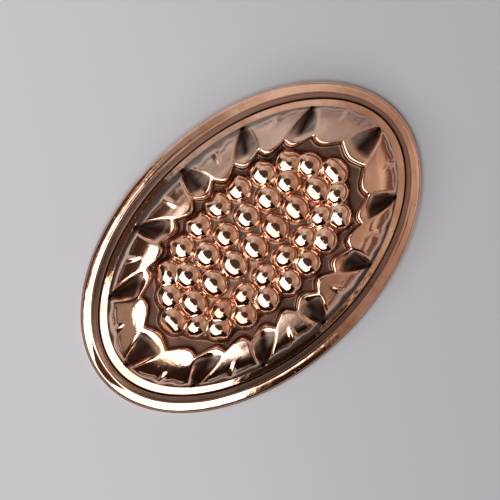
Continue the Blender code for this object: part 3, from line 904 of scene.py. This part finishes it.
def solder_material():
    """Soft solder: dull grey, cloudy, with a little frost where it froze."""
    material, tree = new_material("soft_solder_metal")
    place = add_node(tree, "ShaderNodeTexCoord").outputs["Object"]
    frost = add_node(tree, "ShaderNodeTexNoise", {"Vector": place, "Scale": 1 / FROST_GRAIN,
                                                  "Detail": 6.0})
    colour = add_node(tree, "ShaderNodeMix", {0: frost.outputs["Fac"], 6: srgb("C4C2BD"),
                                              7: srgb("7F7D79")}, data_type="RGBA")
    rough = add_node(tree, "ShaderNodeMapRange", {"Value": frost.outputs["Fac"], "To Min": 0.3,
                                                  "To Max": 0.6})
    relief = add_node(tree, "ShaderNodeBump", {"Height": frost.outputs["Fac"], "Distance": 0.0001,
                                               "Strength": 0.6})
    surface = add_node(tree, "ShaderNodeBsdfPrincipled", {
        "Base Color": colour.outputs[2], "Metallic": 1.0, "Roughness": rough.outputs["Result"],
        "Normal": relief.outputs[0]})
    add_node(tree, "ShaderNodeOutputMaterial", {"Surface": surface.outputs[0]})
    return material


add_piece("solder_bead", solder_mesh(), [solder_material()], "lap_solder")


# Table
# A plain table top in smooth pale grey paint, with a painted pool of light that makes it paler towards
# the light.
# The mould stands loose on it with its turned edge, and it carries the mould's soft shadow.
TABLE_HALF = 3.0
LIGHT_POOL_WAY = math.radians(146)
LIGHT_POOL_SPREAD = 0.12


def table_material():
    """Smooth grey paint with a painted pool of light, paler towards the left of the picture, the side the
    light comes from.
    """
    material, tree = new_material("table_paint_with_painted_light")
    place = add_node(tree, "ShaderNodeTexCoord").outputs["Object"]
    towards_light_pool = add_node(tree, "ShaderNodeVectorMath", {
        0: place, 1: (math.cos(LIGHT_POOL_WAY), math.sin(LIGHT_POOL_WAY), 0.0)}, operation="DOT_PRODUCT")
    painted_light_pool = add_node(tree, "ShaderNodeMapRange", {"Value": towards_light_pool.outputs["Value"],
                                                     "From Min": -LIGHT_POOL_SPREAD, "From Max": LIGHT_POOL_SPREAD},
                        interpolation_type="SMOOTHSTEP")
    colour = add_node(tree, "ShaderNodeMix", {0: painted_light_pool.outputs["Result"], 6: srgb("B6B6BA"),
                                              7: srgb("D0D0D4")}, data_type="RGBA")
    surface = add_node(tree, "ShaderNodeBsdfPrincipled", {
        "Base Color": colour.outputs[2], "Roughness": 0.7})
    add_node(tree, "ShaderNodeOutputMaterial", {"Surface": surface.outputs[0]})
    return material


table_bm = bmesh.new()
bmesh.ops.create_grid(table_bm, x_segments=1, y_segments=1, size=TABLE_HALF)
table_mesh = bpy.data.meshes.new("table_top")
table_bm.to_mesh(table_mesh)
table_bm.free()
table_top = bpy.data.objects.new("table_top", table_mesh)
bpy.context.scene.collection.objects.link(table_top)
table_mesh.materials.append(table_material())


# Light
# The room that the copper mirrors: a wide skylight over the mould's -X side with dark wood below it,
# a small bright pane on each side of it, pale walls that are brown low down, and a dim ceiling.
# Azimuth counts anticlockwise from the mould's -X. The angles are in degrees.
# The camera itself sees one plain tone past the table's end.
CAMERA_SEES = "C4C4C6"
SKY_MIRRORED = 3.0
SKY_FILL = 3.5
WALLS_FILL = 0.3
PANE_GLOW = 2.2

world = bpy.data.worlds.new("room")
bpy.context.scene.world = world
world.use_nodes = True
room = world.node_tree
room.nodes.clear()
towards = add_node(room, "ShaderNodeTexCoord").outputs["Generated"]
half_turned = add_node(room, "ShaderNodeVectorMath", {0: towards, 1: (-1, -1, 1)}, operation="MULTIPLY")
parts = add_node(room, "ShaderNodeSeparateXYZ", {"Vector": half_turned.outputs[0]})
azimuth = add_node(room, "ShaderNodeMath", {0: parts.outputs["Y"], 1: parts.outputs["X"]},
                   operation="ARCTAN2").outputs[0]
elevation = add_node(room, "ShaderNodeMath", {0: parts.outputs["Z"]}, operation="ARCSINE").outputs[0]
light_path = add_node(room, "ShaderNodeLightPath")
camera_ray = light_path.outputs["Is Camera Ray"]
glossy_ray = light_path.outputs["Is Glossy Ray"]
around = add_node(room, "ShaderNodeMapRange", {"Value": azimuth, "From Min": -math.pi,
                                               "From Max": math.pi}).outputs["Result"]


def room_tones(stops):
    """Tones around the room, from (azimuth in degrees, colour) stops."""
    tones = add_node(room, "ShaderNodeValToRGB", {"Fac": around})
    tones.color_ramp.elements[0].color = srgb(stops[0][1])
    tones.color_ramp.elements[1].color = srgb(stops[-1][1])
    for degrees, tone in stops[1:-1]:
        tones.color_ramp.elements.new((degrees + 180) / 360).color = srgb(tone)
    return tones.outputs["Color"]


def rising(value, start, end):
    """Smooth way from 0 to 1 between two angles."""
    return add_node(room, "ShaderNodeMapRange", {
        "Value": value, "From Min": math.radians(start), "From Max": math.radians(end)},
        interpolation_type="SMOOTHSTEP").outputs["Result"]


def both(first, second):
    """Product of two shares."""
    return add_node(room, "ShaderNodeMath", {0: first, 1: second}, operation="MULTIPLY").outputs[0]


def between(value, low, high, edge):
    """Share that is 1 between two angles."""
    return both(rising(value, low - edge, low + edge), rising(value, high + edge, high - edge))


def patch(elevations, azimuths, edge, side_edge):
    """Share that is 1 on one patch of the room, with the softness of its edges."""
    return both(between(elevation, *elevations, edge), between(azimuth, *azimuths, side_edge))


def mixed(share, first, second):
    """First colour, turned to the second by the share."""
    return add_node(room, "ShaderNodeMix", {0: share, 6: first, 7: second}, data_type="RGBA").outputs[2]


low_walls = room_tones([
    (-180, "B49C8E"), (-165, "BFB2A8"), (-145, "CCC6C0"), (-118, "D6D4D0"), (-92, "C2C4C6"),
    (-88, "4A332A"), (-50, "402E25"), (-44, "A0948A"), (-12, "9A8E84"), (-4, "32231C"), (46, "281A14"),
    (60, "1C120E"), (90, "1E130F"), (93, "B8A698"), (120, "D8CABC"), (150, "E0D2C4"), (160, "C4AFA2"),
    (180, "B49C8E")])
high_walls = room_tones([
    (-180, "A8948A"), (-150, "B0A096"), (-138, "D2C8C0"), (-120, "D8D2CC"), (-108, "A89C94"),
    (-92, "948A84"), (-88, "4F3E36"), (60, "33241D"), (90, "2C1E18"), (93, "8C786C"), (120, "B4A092"),
    (150, "BCA89A"), (165, "A08C80"), (180, "A8948A")])
seen = mixed(rising(elevation, 26, 36), low_walls, high_walls)
door_head = patch((24, 28), (92, 128), 0.8, 3)
seen = mixed(door_head, seen, srgb("3A2A22"))
skirting = both(rising(elevation, 7, 4), between(azimuth, -88, 90, 3))
seen = mixed(skirting, seen, srgb("20140F"))
across_room = add_node(room, "ShaderNodeMath", {0: 1.0, 1: between(azimuth, -125, 100, 8)},
                       operation="SUBTRACT").outputs[0]
brown_low_down = both(rising(elevation, 22, 12), across_room)
seen = mixed(brown_low_down, seen, srgb("74523F"))
picture_rail = patch((41, 45), (-90, -50), 1.0, 3)
seen = mixed(picture_rail, seen, srgb("EDE9E4"))
ceiling = rising(elevation, 60, 66)
seen = mixed(ceiling, seen, srgb("4A3E3A"))
overhead_x = add_node(room, "ShaderNodeMath", {0: parts.outputs["X"], 1: parts.outputs["Z"]},
                      operation="DIVIDE").outputs[0]
overhead_y = add_node(room, "ShaderNodeMath", {0: parts.outputs["Y"], 1: parts.outputs["Z"]},
                      operation="DIVIDE").outputs[0]


def spanned(value, low, high, edge):
    """Share that is 1 between two places on a flat ceiling, counted in its heights."""
    up = add_node(room, "ShaderNodeMapRange", {"Value": value, "From Min": low - edge,
                                               "From Max": low + edge})
    down = add_node(room, "ShaderNodeMapRange", {"Value": value, "From Min": high + edge,
                                                 "From Max": high - edge})
    return both(up.outputs["Result"], down.outputs["Result"])


skylight = both(both(spanned(overhead_x, 0.22, 1.45, 0.03), spanned(overhead_y, -1.0, 1.3, 0.03)),
                both(rising(elevation, 5, 8), rising(azimuth, 71, 67)))
side_pane = patch((51, 60), (-88, -60), 1.0, 3)
far_pane = patch((54.5, 65), (58, 89), 0.7, 2)
seen = mixed(side_pane, seen, (PANE_GLOW, PANE_GLOW, PANE_GLOW, 1.0))
seen = mixed(far_pane, seen, (PANE_GLOW, PANE_GLOW, PANE_GLOW, 1.0))
pane_reveal = patch((49, 54.5), (69, 92), 0.7, 2)
seen = mixed(pane_reveal, seen, srgb("A68E7E"))
seen = mixed(skylight, seen, (1.0, 1.0, 1.0, 1.0))
walls_glow = add_node(room, "ShaderNodeMix", {0: glossy_ray, 2: WALLS_FILL, 3: 1.0})
sky_glow = add_node(room, "ShaderNodeMix", {0: glossy_ray, 2: SKY_FILL, 3: SKY_MIRRORED})
room_glow = add_node(room, "ShaderNodeMix", {0: skylight, 2: walls_glow.outputs[0],
                                             3: sky_glow.outputs[0]})
strength = add_node(room, "ShaderNodeMix", {0: camera_ray, 2: room_glow.outputs[0], 3: 1.0}).outputs[0]
glow = add_node(room, "ShaderNodeBackground", {"Color": mixed(camera_ray, seen, srgb(CAMERA_SEES)),
                                               "Strength": strength})
add_node(room, "ShaderNodeOutputWorld", {"Surface": glow.outputs[0]})
bpy.context.scene.view_settings.view_transform = "Standard"


# Camera
# It stands almost straight above the mould, a little towards the -X end, and looks down. The mould's
# length runs from the picture's lower left to its upper right.
CAMERA_HEIGHT = 0.6
CAMERA_FOOT = (-0.0234, 0.0115)
VIEW_WIDTH = 0.213
SENSOR = 36.0
VIEW_CENTRE = (-0.0014, -0.0005)
LENGTH_TURN = math.radians(43.03)
lens = bpy.data.cameras.new("camera")
lens.sensor_width = SENSOR
lens.lens = SENSOR * CAMERA_HEIGHT / VIEW_WIDTH
camera = bpy.data.objects.new("camera", lens)
camera.location = (*CAMERA_FOOT, CAMERA_HEIGHT)
backwards = (camera.location - Vector((*VIEW_CENTRE, 0.0))).normalized()
up_in_plan = Vector((math.sin(LENGTH_TURN), math.cos(LENGTH_TURN), 0.0))
rightwards = up_in_plan.cross(backwards).normalized()
camera_axes = Matrix((rightwards, backwards.cross(rightwards), backwards)).transposed()
camera.rotation_euler = camera_axes.to_euler()
bpy.context.scene.collection.objects.link(camera)
bpy.context.scene.camera = camera
